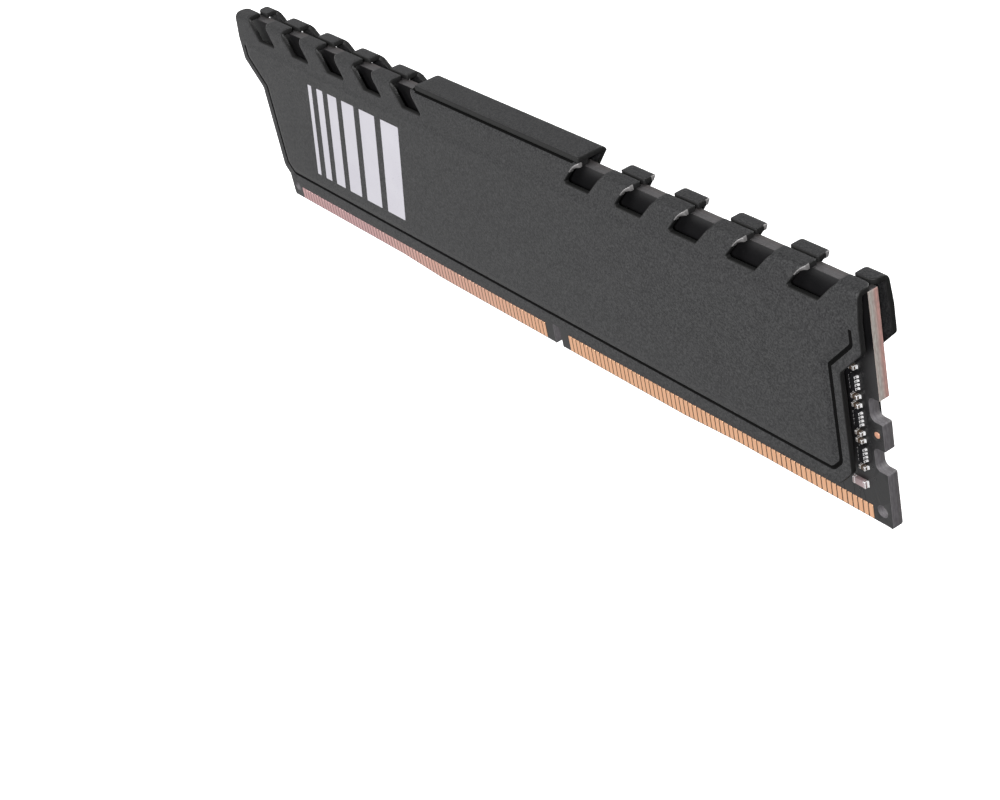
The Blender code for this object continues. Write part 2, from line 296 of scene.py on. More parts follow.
def spreader_cut_edge():
    look = Look("spreader_cut_edge", grey(0.012), 0.50, Specular_IOR_Level=0.25)
    drag = look.noise(0.12, 2.0, (1.0, 1.0, 0.25))
    look.colour(look.mixed(drag, grey(0.006), grey(0.018)))
    look.roughness(look.ranged(drag, 0.42, 0.60))
    look.bumps((drag, 0.010))
    return look.made


def board_mask():
    """Black solder mask with the glass weave showing faintly through it."""
    look = Look("board_mask", (0.012, 0.012, 0.013), 0.34)
    weave = look.node("TexChecker")
    weave.inputs["Scale"].default_value = 1 / (0.42 * MM)
    look.link(look.where, weave.inputs["Vector"])
    cloud = look.noise(3.0, 3.0)
    fine = look.noise(0.3, 2.0)
    look.colour(look.mixed(cloud, (0.006, 0.006, 0.0065), (0.012, 0.0115, 0.0125)))
    look.roughness(look.ranged(cloud, 0.30, 0.42))
    look.bumps((weave.outputs["Fac"], 0.0008), (fine, 0.004))
    return look.made


def laminate(name, front, back, dark):
    """The cut edge of the board: glass and resin, its colour changing from front to back."""
    look = Look(name, front, 0.55)
    layers = look.node("TexWave", wave_type="BANDS", bands_direction="Y")
    layers.inputs["Scale"].default_value = 1 / (1.4 * MM)
    layers.inputs["Distortion"].default_value = 0.8
    layers.inputs["Detail"].default_value = 2.0
    look.link(look.where, layers.inputs["Vector"])
    fibres = look.noise(0.22, 3.0, (1.0, 1.0, 0.30))
    across = look.ranged(look.axis("Y"), 0.0, 1.0, -0.16 * MM, 0.30 * MM)
    base = look.mixed(across, front, back)
    shaded = look.mixed(look.ranged(fibres, 0.0, 0.6, 0.62, 0.35), base, dark)
    seams = look.ranged(layers.outputs["Fac"], 0.0, 0.35, 0.60, 0.95)
    look.colour(look.mixed(seams, shaded, dark))
    look.roughness(look.ranged(fibres, 0.45, 0.70))
    look.bumps((fibres, 0.012))
    return look.made


def finger_gold():
    """Gold plate with fine wipe marks, paler towards the left end."""
    look = Look("finger_gold", (0.92, 0.52, 0.31), 0.30, 0.75)
    wipe = look.noise(0.10, 2.0, (1.0, 1.0, 0.06))
    cloud = look.noise(1.6, 2.0)
    along = look.ranged(look.axis("X"), 0.0, 1.0, -45 * MM, 4 * MM)
    warm = look.mixed(wipe, (0.86, 0.44, 0.24), (0.98, 0.60, 0.38))
    pale = look.mixed(wipe, (0.60, 0.35, 0.35), (0.78, 0.50, 0.50))
    look.colour(look.mixed(along, pale, warm))
    look.roughness(look.ranged(cloud, 0.34, 0.46))
    look.bumps((wipe, 0.003))
    return look.made


def plain_metal(name, dark, light, roughness, grain_mm=0.25, metallic=1.0):
    """Metal whose colour and roughness wander between two values."""
    look = Look(name, light, roughness[0], metallic)
    cloud = look.noise(grain_mm, 2.0)
    look.colour(look.mixed(cloud, dark, light))
    look.roughness(look.ranged(cloud, *roughness))
    look.bumps((cloud, 0.012))
    return look.made


def moulded(name, dark, light, roughness, grain_mm, depth, **fixed):
    """A grained surface that isn't metal."""
    look = Look(name, light, roughness[0], **fixed)
    grain = look.noise(grain_mm, 3.0)
    cloud = look.noise(grain_mm * 12, 2.0)
    look.colour(look.mixed(grain, dark, light))
    look.roughness(look.ranged(cloud, *roughness))
    look.bumps((grain, depth))
    return look.made


def print_ink():
    """Pale screen print with pinholes."""
    look = Look("print_ink", (0.70, 0.68, 0.73), 0.45)
    speckle = look.noise(0.16, 3.0)
    cloud = look.noise(6.0, 2.0)
    base = look.mixed(cloud, (0.48, 0.465, 0.515), (0.55, 0.54, 0.58))
    holes = look.ranged(speckle, 0.0, 1.0, 0.20, 0.36)
    look.colour(look.mixed(holes, (0.26, 0.26, 0.28), base))
    look.roughness(look.ranged(speckle, 0.42, 0.58))
    look.bumps((speckle, 0.006))
    return look.made


# laminate: front colour, back colour, dark layers
# plain_metal: dark colour, light colour, roughness range, grain, metallic
# moulded: dark colour, light colour, roughness range, grain, depth of the grain
COAT = spreader_coat()
CUT = spreader_cut_edge()
# Painted shade: a near-black, unreflecting copy of the sheet for the groove floor and for the fold
# under the bar
PAINTED_SHADE = moulded(
    "spreader_painted_shade", grey(0.003), grey(0.006), (0.85, 0.95), 0.30, 0.003, Specular_IOR_Level=0.03
)
# Painted highlight: pale metal for the inner side of the openings round the fold, where the light
# catches them
LIP_PAINTED_HIGHLIGHT = plain_metal(
    "spreader_lip_painted_highlight", (0.14, 0.135, 0.135), (0.34, 0.33, 0.33), (0.35, 0.50), 0.30, 0.3
)
MASK = board_mask()
ROUTED = laminate(
    "routed_edge", (0.135, 0.128, 0.136), (0.115, 0.108, 0.112), (0.070, 0.066, 0.070)
)
SNAPPED = laminate("snapped_edge", (0.44, 0.42, 0.39), (0.50, 0.28, 0.25), (0.26, 0.19, 0.17))
# Painted shade: the board's top edge is a darker copy of the laminate, for the shade under the
# spreader's fold
TOP_EDGE_PAINTED_SHADE = laminate(
    "top_edge_painted_shade", (0.075, 0.072, 0.075), (0.070, 0.064, 0.064), (0.040, 0.037, 0.037)
)
GOLD = finger_gold()
SOLDER = plain_metal("solder", (0.86, 0.85, 0.86), grey(0.99), (0.30, 0.44), 0.25, 0.35)
COPPER = plain_metal(
    "bare_copper", (0.80, 0.38, 0.24), (0.97, 0.56, 0.40), (0.30, 0.48), 0.25, 0.7
)
MOULDING = moulded(
    "chip_moulding", (0.012, 0.012, 0.013), (0.034, 0.034, 0.035), (0.55, 0.72), 0.16, 0.010
)
SUBSTRATE = moulded(
    "chip_substrate", (0.010, 0.022, 0.014), (0.018, 0.036, 0.022), (0.35, 0.50), 0.30, 0.003
)
PAD = moulded(
    "thermal_pad_silicone", (0.22, 0.24, 0.27), (0.34, 0.36, 0.40), (0.70, 0.85), 0.35, 0.030
)
RESISTOR = moulded(
    "resistor_glaze", (0.010, 0.010, 0.011), (0.022, 0.022, 0.024), (0.25, 0.40), 0.30, 0.003
)
RESISTOR_FACE = moulded(
    "resistor_face", (0.20, 0.14, 0.14), (0.36, 0.27, 0.28), (0.30, 0.45), 0.30, 0.004
)
CERAMIC = moulded(
    "capacitor_ceramic", (0.055, 0.038, 0.026), (0.12, 0.085, 0.060), (0.40, 0.55), 0.12, 0.006
)
INK = print_ink()


# ---- mesh helpers ----------------------------------------------------------


def add_piece(name, bm, looks, replaces=(), smooth_angle=40):
    """Turns a mesh in millimetres into a piece that rides on the module."""
    mesh = bpy.data.meshes.new(name)
    bm.to_mesh(mesh)
    bm.free()
    mesh.transform(Matrix.Scale(MM, 4))
    mesh.shade_smooth()
    mesh.set_sharp_from_angle(angle=math.radians(smooth_angle))
    for look in looks:
        mesh.materials.append(look)
    made = bpy.data.objects.new(name, mesh)
    bpy.context.scene.collection.objects.link(made)
    modifier = made.modifiers.new("weighted", "WEIGHTED_NORMAL")
    modifier.keep_sharp = True
    modifier.weight = 60
    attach(made, "root")
    if replaces:
        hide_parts(*replaces)
    return made


def outward_normals(bm):
    bmesh.ops.recalc_face_normals(bm, faces=bm.faces[:])


def rounded(corners, steps=5):
    """A closed outline from (point, radius) corners."""
    out = []
    count = len(corners)
    for i, (point, radius) in enumerate(corners):
        here = Vector(point)
        before = Vector(corners[i - 1][0]) - here
        after = Vector(corners[(i + 1) % count][0]) - here
        turn = before.angle(after)
        if radius <= 0 or abs(turn - math.pi) < 0.01:
            out.append(tuple(here))
            continue
        reach = min(radius / math.tan(turn / 2), before.length * 0.49, after.length * 0.49)
        radius = reach * math.tan(turn / 2)
        toward = (before.normalized() + after.normalized()).normalized()
        centre = here + toward * (radius / math.sin(turn / 2))
        start = here + before.normalized() * reach - centre
        end = here + after.normalized() * reach - centre
        sweep = start.angle(end)
        side = 1.0 if start.x * end.y - start.y * end.x > 0 else -1.0
        for k in range(steps + 1):
            a = side * sweep * k / steps
            x = start.x * math.cos(a) - start.y * math.sin(a)
            y = start.x * math.sin(a) + start.y * math.cos(a)
            out.append((centre.x + x, centre.y + y))
    return out


def densified(points, longest):
    """The closed outline with long segments divided; longest(x, s) is the most each may be."""
    out = []
    for i, a in enumerate(points):
        b = points[(i + 1) % len(points)]
        length = math.dist(a, b)
        limit = min(longest(*a), longest(*b), longest((a[0] + b[0]) / 2, (a[1] + b[1]) / 2))
        steps = max(1, math.ceil(length / limit))
        across, up = b[0] - a[0], b[1] - a[1]
        out += [(a[0] + across * k / steps, a[1] + up * k / steps) for k in range(steps)]
    return out


def inward(points):
    """For each corner of a closed outline, the way in, scaled so that the sides move by 1."""
    p = np.array(points)
    back = p - np.roll(p, 1, axis=0)
    ahead = np.roll(p, -1, axis=0) - p
    back /= np.linalg.norm(back, axis=1)[:, None]
    ahead /= np.linalg.norm(ahead, axis=1)[:, None]
    following = np.roll(p, -1, axis=0)
    area = np.sum(p[:, 0] * following[:, 1] - p[:, 1] * following[:, 0])
    sign = 1.0 if area > 0 else -1.0
    n1 = np.stack([-back[:, 1], back[:, 0]], 1) * sign
    n2 = np.stack([-ahead[:, 1], ahead[:, 0]], 1) * sign
    middle = n1 + n2
    middle /= np.maximum(np.linalg.norm(middle, axis=1), 1e-9)[:, None]
    return middle / np.maximum(np.sum(middle * n1, axis=1), 0.5)[:, None]


def moved_in(points, amounts):
    return np.array(points) + inward(points) * np.reshape(amounts, (-1, 1))


def depth_inside(points, loop):
    """Distance from each point to the outline: positive inside it, negative outside."""
    p = np.array(points, float).reshape(-1, 2)
    a = np.array(loop, float)
    b = np.roll(a, -1, axis=0)
    out = np.empty(len(p))
    batch = 500  # points at a time, to keep the arrays small
    for start in range(0, len(p), batch):
        q = p[start : start + batch, None, :]
        along = b - a
        t = np.clip(np.sum((q - a) * along, 2) / np.sum(along * along, 1), 0, 1)
        near = np.linalg.norm(q - (a + t[..., None] * along), axis=2).min(1)
        crosses = (a[:, 1] > q[..., 1]) != (b[:, 1] > q[..., 1])
        rise = np.where(b[:, 1] == a[:, 1], 1e-12, b[:, 1] - a[:, 1])
        left_of = q[..., 0] < (b[:, 0] - a[:, 0]) * (q[..., 1] - a[:, 1]) / rise + a[:, 0]
        odd = np.sum(crosses & left_of, 1) % 2 == 1
        out[start : start + batch] = np.where(odd, near, -near)
    return out


def slab(loops, inner_loops, free_points, place, thick, wall_look):
    """A plate with rounded edges, from flat outlines.

    loops: (points, edge rounding at each point), the outer outline first and then holes.
    inner_loops and free_points: further vertices of its two faces.
    place(x, s, depth) gives the point at that depth under the outer face.
    wall_look(x, s) gives the material slot of the wall there.
    """
    flat, edges, starts, holes = [], [], [], []
    for index, (points, amounts) in enumerate(loops):
        ring = moved_in(points, amounts if index == 0 else -np.array(amounts))
        if index:
            holes.append(ring)
        starts.append(len(flat))
        flat += [tuple(p) for p in ring]
        edges += [(starts[-1] + i, starts[-1] + (i + 1) % len(ring)) for i in range(len(ring))]
    for points in inner_loops:
        first = len(flat)
        flat += [tuple(p) for p in points]
        edges += [(first + i, first + (i + 1) % len(points)) for i in range(len(points))]
    flat += [tuple(p) for p in free_points]
    vectors = [Vector(p) for p in flat]
    verts, _, faces, came_from, _, _ = delaunay_2d_cdt(vectors, edges, [], 1, 1e-6)
    slot_of = {}
    for made, sources in enumerate(came_from):
        for source in sources:
            slot_of[source] = made
    bm = bmesh.new()
    top = [bm.verts.new(place(v.x, v.y, 0.0)) for v in verts]
    low = [bm.verts.new(place(v.x, v.y, thick)) for v in verts]
    for face in faces:
        for k in range(1, len(face) - 1):
            tri = (face[0], face[k], face[k + 1])
            if holes:
                mid = [(sum(verts[i].x for i in tri) / 3, sum(verts[i].y for i in tri) / 3)]
                if any(depth_inside(mid, hole)[0] > 0 for hole in holes):
                    continue
            bm.faces.new([top[i] for i in tri])
            bm.faces.new([low[i] for i in reversed(tri)])

    # The wall: a quarter round at each face, as (share moved in, share of its depth)
    turn = 1 - math.sin(math.pi / 4)
    quarter = ((turn, turn), (0.0, 1.0))
    for index, (points, amounts) in enumerate(loops):
        amounts = np.array(amounts, float)
        way = 1.0 if index == 0 else -1.0
        count = len(points)
        rings = [[top[slot_of[starts[index] + i]] for i in range(count)]]
        steps = [(share, amounts * deep) for share, deep in quarter]
        steps += [(share, thick - depths) for share, depths in reversed(steps)]
        for share, depths in steps:
            spots = moved_in(points, way * amounts * share)
            rings.append([bm.verts.new(place(*p, depth)) for p, depth in zip(spots, depths)])
        rings.append([low[slot_of[starts[index] + i]] for i in range(count)])
        for first, second in zip(rings, rings[1:]):
            for i in range(count):
                j = (i + 1) % count
                quad = [first[i], first[j], second[j], second[i]]
                if len(set(quad)) == 4:
                    face = bm.faces.new(quad)
                    middle_x = (points[i][0] + points[j][0]) / 2
                    middle_s = (points[i][1] + points[j][1]) / 2
                    face.material_index = wall_look(middle_x, middle_s)
    loose = [v for v in bm.verts if not v.link_faces]
    bmesh.ops.delete(bm, geom=loose, context="VERTS")
    outward_normals(bm)
    return bm


def smooth_share(t):
    t = np.clip(t, 0.0, 1.0)
    return t * t * (3 - 2 * t)


# ---- heat spreader ---------------------------------------------------------


class Fold:
    """Outer line of the sheet, from its lower edge up and over the top."""

    def __init__(self, top):
        lean_top = top - FOLD_RADIUS
        for _ in range(8):  # the lean and the height where it ends settle together
            self.lean = math.atan2(LEAN_IN, lean_top - LEAN_START)
            lean_top = top - FOLD_RADIUS * (1 - math.sin(self.lean))
        self.top = top
        self.arc_start = LEAN_START + math.hypot(LEAN_IN, lean_top - LEAN_START)
        self.arc_end = self.arc_start + FOLD_RADIUS * (math.pi / 2 - self.lean)
        self.centre_y = FLANGE_Y - LEAN_IN - FOLD_RADIUS * math.cos(self.lean)
        self.centre_z = lean_top - FOLD_RADIUS * math.sin(self.lean)

    def length_to(self, y):
        """How far up the sheet its flat top reaches this y."""
        return self.arc_end + self.centre_y - y

    def at(self, s, depth):
        """The (y, z) of a point at this depth under the outer face."""
        if s <= LEAN_START:
            return FLANGE_Y - depth, s
        if s <= self.arc_start:
            share = s - LEAN_START
            y = FLANGE_Y - math.sin(self.lean) * share - math.cos(self.lean) * depth
            return y, LEAN_START + math.cos(self.lean) * share - math.sin(self.lean) * depth
        if s <= self.arc_end:
            angle = self.lean + (s - self.arc_start) / FOLD_RADIUS
            radius = FOLD_RADIUS - depth
            y = self.centre_y + radius * math.cos(angle)
            return y, self.centre_z + radius * math.sin(angle)
        return self.centre_y - (s - self.arc_end), self.top - depth


def notch(x, right_top, top_width, left_top):
    """Corners of one opening, walked from its right side to its left side."""
    right = x + top_width
    corners = [((right, right_top), 0.25), ((right, OPENING_BEND_RIGHT), 0.35)]
    corners += [((x + OPENING_FOOT_RIGHT, OPENING_FOOT), 0.3)]
    corners += [((x + OPENING_FOOT_LEFT, OPENING_FOOT), 0.2)]
    aside, above = OPENING_FOOT_CORNER
    corners += [((x + aside, OPENING_FOOT + above), 0.15)]
    return corners + [((x, OPENING_BEND_LEFT), 0.35), ((x, left_top), 0.25)]


def spreader_outline(fold, bar, is_back):
    """The sheet laid flat, with its openings and, on the back half, the bar between them."""
    seam = fold.length_to(SEAM_HALF_GAP)
    trim = BACK_TRIM if is_back else 0.0
    middle, first, pitch = BACK_PATTERN if is_back else FRONT_PATTERN
    top_width = BACK_OPENING_TOP if is_back else FRONT_OPENING_TOP

    def half(side):
        narrow, wide = NARROW_HALF - trim, WIDE_HALF - trim
        corners = [
            ((FOOT_HALF - trim, FOOT_Z), OUTLINE_ROUND),
            ((narrow, FOOT_CORNER_TOP), OUTLINE_ROUND),
            ((narrow, SHOULDER_LOW), OUTLINE_ROUND),
            ((wide, SHOULDER_HIGH), OUTLINE_ROUND),
            ((wide, seam), SEAM_CORNER_ROUND),
        ]
        for k in reversed(range(OPENINGS)):
            left_top = bar.length_to(-BAR_REACH) if is_back and k == 0 else seam
            x = first + pitch * k + side * middle
            corners += notch(x, seam, top_width, left_top)
        return [((side * x, s), r) for (x, s), r in corners]

    return rounded(half(1) + list(reversed(half(-1))), 4)


def panel_corners(trim):
    right = [(x - trim, s) for x, s in PANEL_CORNERS]
    return [(p, PANEL_ROUND) for p in right + [(-x, s) for x, s in reversed(right)]]


def crease_height(inside, s):
    """Height of the sheet near the edge of the raised panel, with a groove at its foot."""
    step = PANEL_RAISE * smooth_share((inside - STEP_FROM) / STEP_SPAN)
    groove = CREASE * (1 - smooth_share(abs(inside - GROOVE_MIDDLE) / GROOVE_HALF))
    return step - groove * (1 - smooth_share((s - GROOVE_FADE_FROM) / GROOVE_FADE_SPAN))


def sheet_points(outline, panel, top):
    """Vertices inside the sheet: close over the fold, far apart below, none at the crease."""
    heights = [28.9, 29.4, 30.0, 30.5]
    heights += list(np.arange(30.8, top, 0.16))
    grid = [(x, s) for s in heights for x in np.arange(-66.6, 66.7, 0.9)]
    grid += [(x, s) for s in np.arange(6.2, 28.0, 3.6) for x in np.arange(-66, 66.1, 4.0)]
    grid = np.array(grid)
    grid = grid[depth_inside(grid, outline) > 0.2]
    near_panel = depth_inside(grid, panel)
    return grid[(near_panel > 1.2) | (near_panel < -0.95)]


def make_spreader(name, node, side, is_back):
    """One half of the heat spreader: side is -1 at the front and 1 at the back."""
    fold, bar = Fold(FOLD_TOP), Fold(BAR_TOP)
    trim = BACK_TRIM if is_back else 0.0
    shift = BACK_SHIFT if is_back else 0.0
    flat = spreader_outline(fold, bar, is_back)
    outline = densified(flat, lambda x, s: 0.24 if s > 28.0 else 2.5)
    panel = densified(rounded(panel_corners(trim)), lambda x, s: 1.2)
    rings = [moved_in(panel, [d] * len(panel)) for d in CREASE_LINE]
    grid = sheet_points(outline, panel, bar.length_to(-BAR_REACH))

    def place(x, s, depth):
        raised = 0.0
        if s < PANEL_LIMIT:
            raised = crease_height(depth_inside([(x, s)], panel)[0], s)
        y, z = fold.at(s, depth - raised)
        if is_back:
            if s < OPENING_FOOT + 0.1:
                share = 1 - smooth_share((abs(x) - BAR_BLEND_FROM) / BAR_BLEND_SPAN)
            else:
                share = float(abs(x) < BAR_CLEAR_HALF)
            bar_y, bar_z = bar.at(s, depth - raised)
            y, z = y + (bar_y - y) * share, z + (bar_z - z) * share
        return (x + shift, side * y, z)

    middle, first, pitch = BACK_PATTERN if is_back else FRONT_PATTERN

    def wall(x, s):
        """The inner side of each opening gets a painted highlight, in a pale metal colour, where
        it goes round the fold.
        """
        place_in_pitch = (abs(x) - first - math.copysign(middle, x) + LIP_BEFORE) % pitch
        on_fold = fold.arc_start - LIP_BELOW_FOLD < s < fold.arc_end + LIP_PAST_FOLD
        on_bar = is_back and abs(x) < BAR_CLEAR_HALF
        return SHEET_LIP_HIGHLIGHT if on_fold and place_in_pitch < LIP_SPAN and not on_bar else SHEET_WALL

    bm = slab([(outline, [SHEET_EDGE] * len(outline))], rings, grid, place, SHEET, wall)
    # Painted shade: faces on the floor of the panel's groove, and the front half's fold under the
    # bar, take the near-black unreflecting material
    shade_painted_from = fold.centre_z + BAR_SHADE_SHARE * FOLD_RADIUS
    for face in bm.faces:
        x, y, z = face.calc_center_median()
        on_outside = abs(y) > FLANGE_Y - 0.3
        if on_outside and z < GROOVE_SHADE_END:
            if GROOVE_SHADE_SPAN[0] < depth_inside([(x - shift, z)], panel)[0] < GROOVE_SHADE_SPAN[1]:
                face.material_index = SHEET_PAINTED_SHADE
        elif not is_back and abs(x) < BAR_HALF and face.normal.z > 0:
            if min(v.co.z for v in face.verts) > shade_painted_from:
                face.material_index = SHEET_PAINTED_SHADE
    return add_piece(name, bm, [COAT, CUT, LIP_PAINTED_HIGHLIGHT, PAINTED_SHADE], [node], smooth_angle=50)


# ---- circuit board and contacts --------------------------------------------


def contact_x(index):
    x = -HALF_LENGTH + FIRST_CONTACT + PITCH * index
    return x + KEY_GAP - PITCH if index >= LEFT_CONTACTS else x


KEY = contact_x(LEFT_CONTACTS - 1) + KEY_GAP / 2
LEFT_FLAT = KEY - KEY_GAP / 2 - LEFT_FLAT_LENGTH
RIGHT_FLAT = KEY + KEY_GAP / 2 + RIGHT_FLAT_LENGTH


def edge_height(x):
    """Height of the contact edge, which is lower over its middle."""
    if x < LEFT_FLAT:
        return min(EDGE_RAISE, EDGE_RAISE * (LEFT_FLAT - x) / RAMP)
    if x > RIGHT_FLAT:
        return min(EDGE_RAISE, EDGE_RAISE * (x - RIGHT_FLAT) / RAMP)
    return 0.0


def board_outline():
    half = KEY_WIDTH / 2
    key_round = half * 0.98
    bottom = [((-HALF_LENGTH, EDGE_RAISE), 0.5)]
    bottom += [((LEFT_FLAT - RAMP, EDGE_RAISE), 0), ((LEFT_FLAT, 0.0), 0)]
    bottom += [((KEY - half, 0.0), 0.15), ((KEY - half, KEY_HEIGHT), key_round)]
    bottom += [((KEY + half, KEY_HEIGHT), key_round), ((KEY + half, 0.0), 0.15)]
    bottom += [((RIGHT_FLAT, 0.0), 0), ((RIGHT_FLAT + RAMP, EDGE_RAISE), 0)]
    bottom += [((HALF_LENGTH, EDGE_RAISE), 0.5)]
    deep = HALF_LENGTH - SIDE_NOTCH_DEPTH
    right = []
    for centre in SIDE_NOTCH_HEIGHTS:
        low, high = centre - SIDE_NOTCH_SIZE / 2, centre + SIDE_NOTCH_SIZE / 2
        right += [((HALF_LENGTH, low), 0.2), ((deep, low), 0.75)]
        right += [((deep, high), 0.75), ((HALF_LENGTH, high), 0.2)]
    top = [((HALF_LENGTH, BOARD_HEIGHT), 0.2), ((-HALF_LENGTH, BOARD_HEIGHT), 0.2)]
    left = [((-x, z), r) for (x, z), r in reversed(right)]
    return rounded(bottom + right + top + left, 6)


def circle(x, z, radius, steps=32):
    turns = [2 * math.pi * k / steps for k in range(steps)]
    return [(x + radius * math.cos(a), z + radius * math.sin(a)) for a in turns]


def make_board():
    outline = densified(board_outline(), lambda x, s: 2.0)
    rounding = []
    for x, z in outline:
        between_ends = abs(x) < HALF_LENGTH - 0.45
        beside_key = abs(x - KEY) > KEY_WIDTH / 2 + 0.1
        on_edge = z < edge_height(x) + 0.02 and between_ends and beside_key
        rounding.append(CHAMFER if on_edge else EDGE_BREAK)
    hole_x = HALF_LENGTH - CORNER_HOLE[0]
    loops = [(outline, rounding)]
    for s in (-1, 1):
        points = circle(s * hole_x, CORNER_HOLE[1], CORNER_HOLE_RADIUS)
        loops.append((points, [EDGE_BREAK] * len(points)))
    grid = np.array([(x, z) for z in np.arange(2, 31, 4.0) for x in np.arange(-64, 65, 4.0)])
    grid = grid[depth_inside(grid, outline) > 0.6]

    def place(x, z, depth):
        return (x, depth - HALF_THICK, z)

    def wall(x, z):
        # the top edge takes the darker laminate copy, painted shade
        if z > BOARD_HEIGHT - 0.05:
            return SHADED_TOP_WALL
        snapped = abs(x) > HALF_LENGTH - 0.3 and z > CUT_EDGE_FROM - 0.2
        return SNAPPED_WALL if snapped else ROUTED_WALL

    bm = slab(loops, [], grid, place, 2 * HALF_THICK, wall)
    looks = [MASK, ROUTED, SNAPPED, TOP_EDGE_PAINTED_SHADE]
    return add_piece("circuit_board_laminate", bm, looks, ["circuit_board"], 50)


def raised_pad(bm, outline, y_low, y_high, shrink, look=PLAIN):
    """A flat pad with sloped sides: y_low is at the face it stands on."""
    base = [bm.verts.new((x, y_low, z)) for x, z in outline]
    spots = moved_in(outline, [shrink] * len(outline))
    top = [bm.verts.new((x, y_high, z)) for x, z in spots]
    faces = [bm.faces.new(top)]
    for i in range(len(outline)):
        j = (i + 1) % len(outline)
        faces.append(bm.faces.new([base[i], base[j], top[j], top[i]]))
    faces.append(bm.faces.new(list(reversed(base))))
    for face in faces:
        face.material_index = look


def make_fingers(name, node, first, last, side):
    bm = bmesh.new()
    half = CONTACT_WIDTH / 2
    y_low, y_high = side * (HALF_THICK - SEAT), side * (HALF_THICK + CONTACT_HEIGHT)
    for index in range(first, last + 1):
        x = contact_x(index)
        foot = edge_height(x) + CONTACT_FOOT
        corners = [((x - half, foot), 0.06), ((x + half, foot), 0.06)]
        corners += [((x + half, CONTACT_TOP), 0.16), ((x - half, CONTACT_TOP), 0.16)]
        raised_pad(bm, rounded(corners, 3), y_low, y_high, 0.025)
    outward_normals(bm)
    return add_piece(name, bm, [GOLD], [node], 30)


def make_traces(name, side):
    """Copper runs under the mask, from each finger up under the spreader."""
    bm = bmesh.new()
    y_low, y_high = side * (HALF_THICK - SEAT), side * (HALF_THICK + TRACE_HEIGHT)
    first_bend, second_bend = TRACE_BENDS
    for index in range(LEFT_CONTACTS + RIGHT_CONTACTS):
        if index % 7 in UNUSED_CONTACTS:
            continue
        x = contact_x(index)
        stepped = x + TRACE_STEPS[index % 4]
        points = [(x, CONTACT_TOP - 0.1), (x, first_bend + TRACE_STAGGER * (index % 3))]
        points += [(stepped, second_bend), (stepped, TRACE_TOP)]
        left = [(px - TRACE_HALF_WIDTH, pz) for px, pz in points]
        right = [(px + TRACE_HALF_WIDTH, pz) for px, pz in reversed(points)]
        raised_pad(bm, left + right, y_low, y_high, 0.02)
    outward_normals(bm)
    return add_piece(name, bm, [MASK], (), 30)


def join_rings(bm, pairs, count):
    """Quads between each pair of closed rings of vertices."""
    for a, b in pairs:
        for i in range(count):
            j = (i + 1) % count
            bm.faces.new([a[i], a[j], b[j], b[i]])


def make_vias(name, side, spots):
    """Plated through holes, covered by mask: a low ring with a dimple."""
    bm = bmesh.new()
    for x, z in spots:
        rings = []
        for radius, height in VIA_RINGS:
            y = side * (HALF_THICK + height)
            points = circle(x, z, radius, VIA_SIDES)
            rings.append([bm.verts.new((px, y, pz)) for px, pz in points])
        join_rings(bm, zip(rings, rings[1:]), VIA_SIDES)
        bm.faces.new(rings[-1])
        bm.faces.new(list(reversed(rings[0])))
    outward_normals(bm)
    return add_piece(name, bm, [MASK], (), 50)


def make_fiducial(name, x, z):
    """A bare copper dot in a round clearing of the mask."""
    bm = bmesh.new()
    slope = 0.03
    dot = circle(x, z, FIDUCIAL_RADIUS, 28)
    raised_pad(bm, dot, -(HALF_THICK - SEAT), -(HALF_THICK + 0.03), slope, BARE_COPPER)
    inner, outer = (circle(x, z, radius, FIDUCIAL_SIDES) for radius in FIDUCIAL_RING)
    section = (
        (outer, -SEAT),
        (moved_in(outer, [slope] * FIDUCIAL_SIDES), 0.02),
        (moved_in(inner, [-slope] * FIDUCIAL_SIDES), 0.02),
        (inner, -SEAT),
    )
    rings = []
    for points, height in section:
        rings.append([bm.verts.new((px, -(HALF_THICK + height), pz)) for px, pz in points])
    join_rings(bm, zip(rings, rings[1:] + rings[:1]), FIDUCIAL_SIDES)
    outward_normals(bm)
    return add_piece(name, bm, [MASK, COPPER], (), 40)


# ---- packages and small parts ----------------------------------------------


def block(bm, low, high, bevel, look, segments=2):
    """A box with rounded edges, between two corners."""
    made = bmesh.ops.create_cube(bm, size=1.0)["verts"]
    size = [b - a for a, b in zip(low, high)]
    middle = [(a + b) / 2 for a, b in zip(low, high)]
    bmesh.ops.scale(bm, vec=size, verts=made)
    bmesh.ops.translate(bm, vec=middle, verts=made)
    edges = list({edge for vert in made for edge in vert.link_edges})
    faces = {face for vert in made for face in vert.link_faces}
    shape = {"offset": bevel, "segments": segments, "affect": "EDGES", "profile": 0.6}
    done = bmesh.ops.bevel(bm, geom=edges, **shape)
    faces = {f for f in faces if f.is_valid} | set(done["faces"])
    for face in faces:
        face.material_index = look


def fillet(bm, x0, x1, z_body, z_far, y_board, y_top, look):
    """A solder fillet: a concave wedge from a terminal down to the board."""
    steps = 5
    rows = []
    for k in range(steps + 1):
        t = k / steps
        z = z_body + (z_far - z_body) * t
        y = y_board + (y_top - y_board) * (1 - t) ** 2
        rows.append([bm.verts.new((x0, y, z)), bm.verts.new((x1, y, z))])
    ends = [bm.verts.new((x0, y_board, z_body)), bm.verts.new((x1, y_board, z_body))]
    faces = [bm.faces.new([a[0], a[1], b[1], b[0]]) for a, b in zip(rows, rows[1:])]
    faces.append(bm.faces.new([ends[0], *[r[0] for r in rows]]))
    faces.append(bm.faces.new([ends[1], *[r[1] for r in reversed(rows)]]))
    faces.append(bm.faces.new([ends[0], ends[1], rows[0][1], rows[0][0]]))
    faces.append(bm.faces.new([ends[0], rows[-1][0], rows[-1][1], ends[1]]))
    for face in faces:
        face.material_index = look


def quarter_turn(bm):
    """Turns a mesh that lies along X so that it lies along Z, and the other way round."""
    turn = Matrix.Rotation(math.pi / 2, 3, "Y")
    bmesh.ops.rotate(bm, verts=bm.verts[:], cent=(0, 0, 0), matrix=turn)


